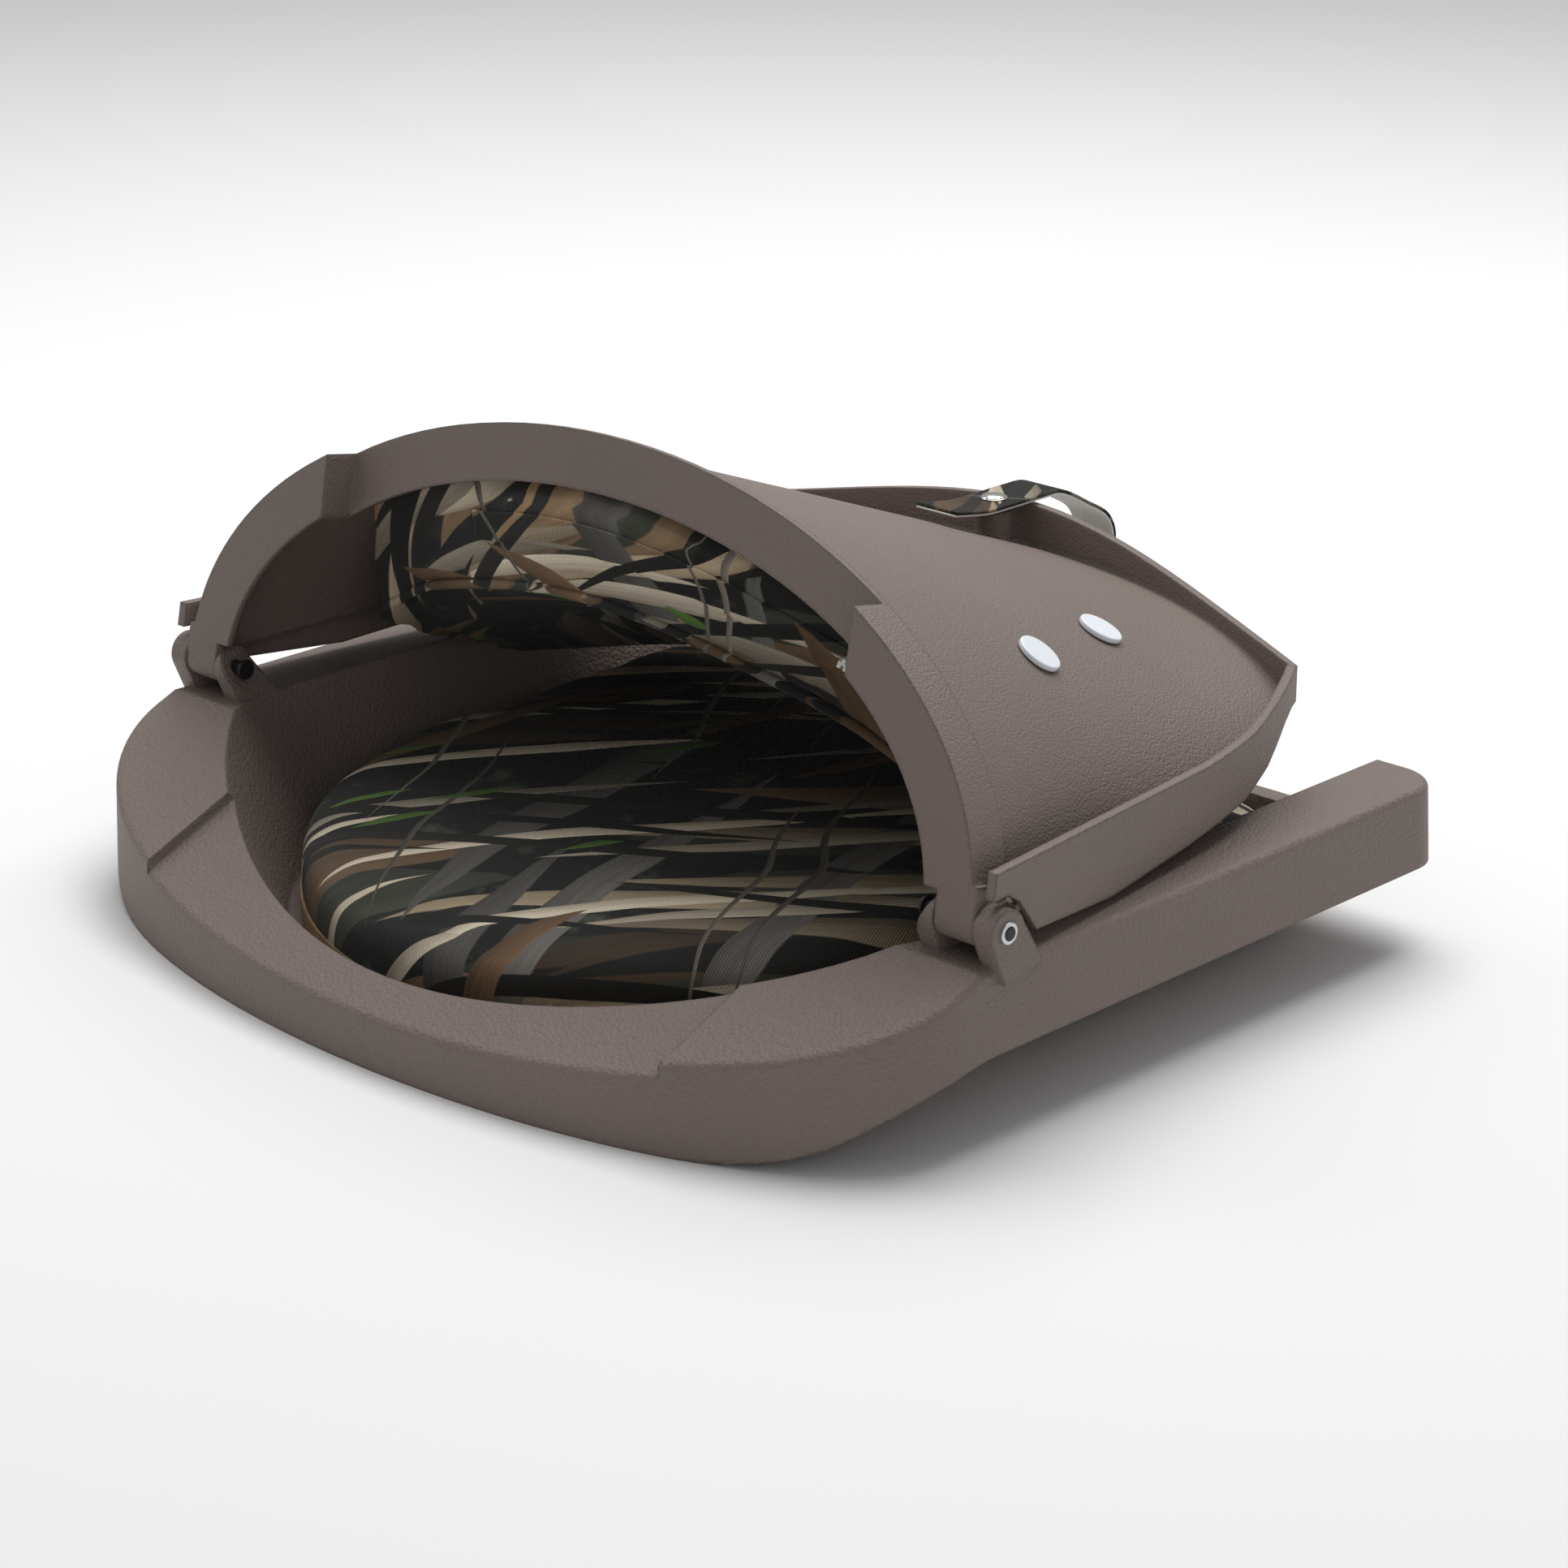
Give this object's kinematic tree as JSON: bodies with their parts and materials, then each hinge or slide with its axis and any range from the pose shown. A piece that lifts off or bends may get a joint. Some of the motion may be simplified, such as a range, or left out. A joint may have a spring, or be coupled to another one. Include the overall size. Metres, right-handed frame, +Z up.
{
  "type": "folding boat seat",
  "caption": "Fold-down moulded boat seat with reed-pattern cushions, shown folded, with a snap strap on its back.",
  "frame": {"origin": "centre of the four mounting inserts, on the plane that the seat stands on", "axes": "+Z up, +Y to the rear, where the hinges are, and X across the seat along the hinge axis"},
  "size_m": [0.5036, 0.4731, 0.2321],
  "materials": {
    "shell_plastic": "fine pebble grain",
    "reed_cloth": "printed twill",
    "white_webbing": "woven",
    "foam": "open cell foam",
    "board": "plywood",
    "zinc_steel": "zinc plated",
    "pin_steel": "black oxide",
    "brass_insert": "turned",
    "white_nylon": "satin",
    "zip_coil": "moulded teeth",
    "snap_metal": "plated"
  },
  "bodies": {
    "seat": {"seat_shell": "shell_plastic", "seat_board": "board", "seat_foam": "foam", "seat_cover": "reed_cloth", "seat_cushion_screws": "zinc_steel", "mount_inserts": "brass_insert", "hinge_pin_left": "pin_steel", "hinge_pin_right": "pin_steel", "pin_retainer_left": "zinc_steel", "pin_retainer_right": "zinc_steel"},
    "back": {"back_shell": "shell_plastic", "back_board": "board", "back_foam": "foam", "back_cover": "reed_cloth", "back_fasteners": "white_nylon", "back_zip": "zip_coil", "snap_stud": "snap_metal", "snap_stud_screw": "zinc_steel", "strap_base": "reed_cloth"},
    "strap": {"retaining_strap": "reed_cloth", "strap_webbing": "white_webbing", "snap_cap": "snap_metal", "snap_socket": "snap_metal"}
  },
  "joints": [
    {"name": "back_fold", "type": "hinge", "parent": "seat", "child": "back", "pos_m": [0, 0.1, 0.09], "axis": [-1, 0, 0], "range_deg": [0, 123]},
    {"name": "strap_lift", "type": "hinge", "parent": "back", "child": "strap", "pos_m": [0, -0.197, 0.15365], "axis": [1, 0, 0], "range_deg": [0, 100]}
  ]
}
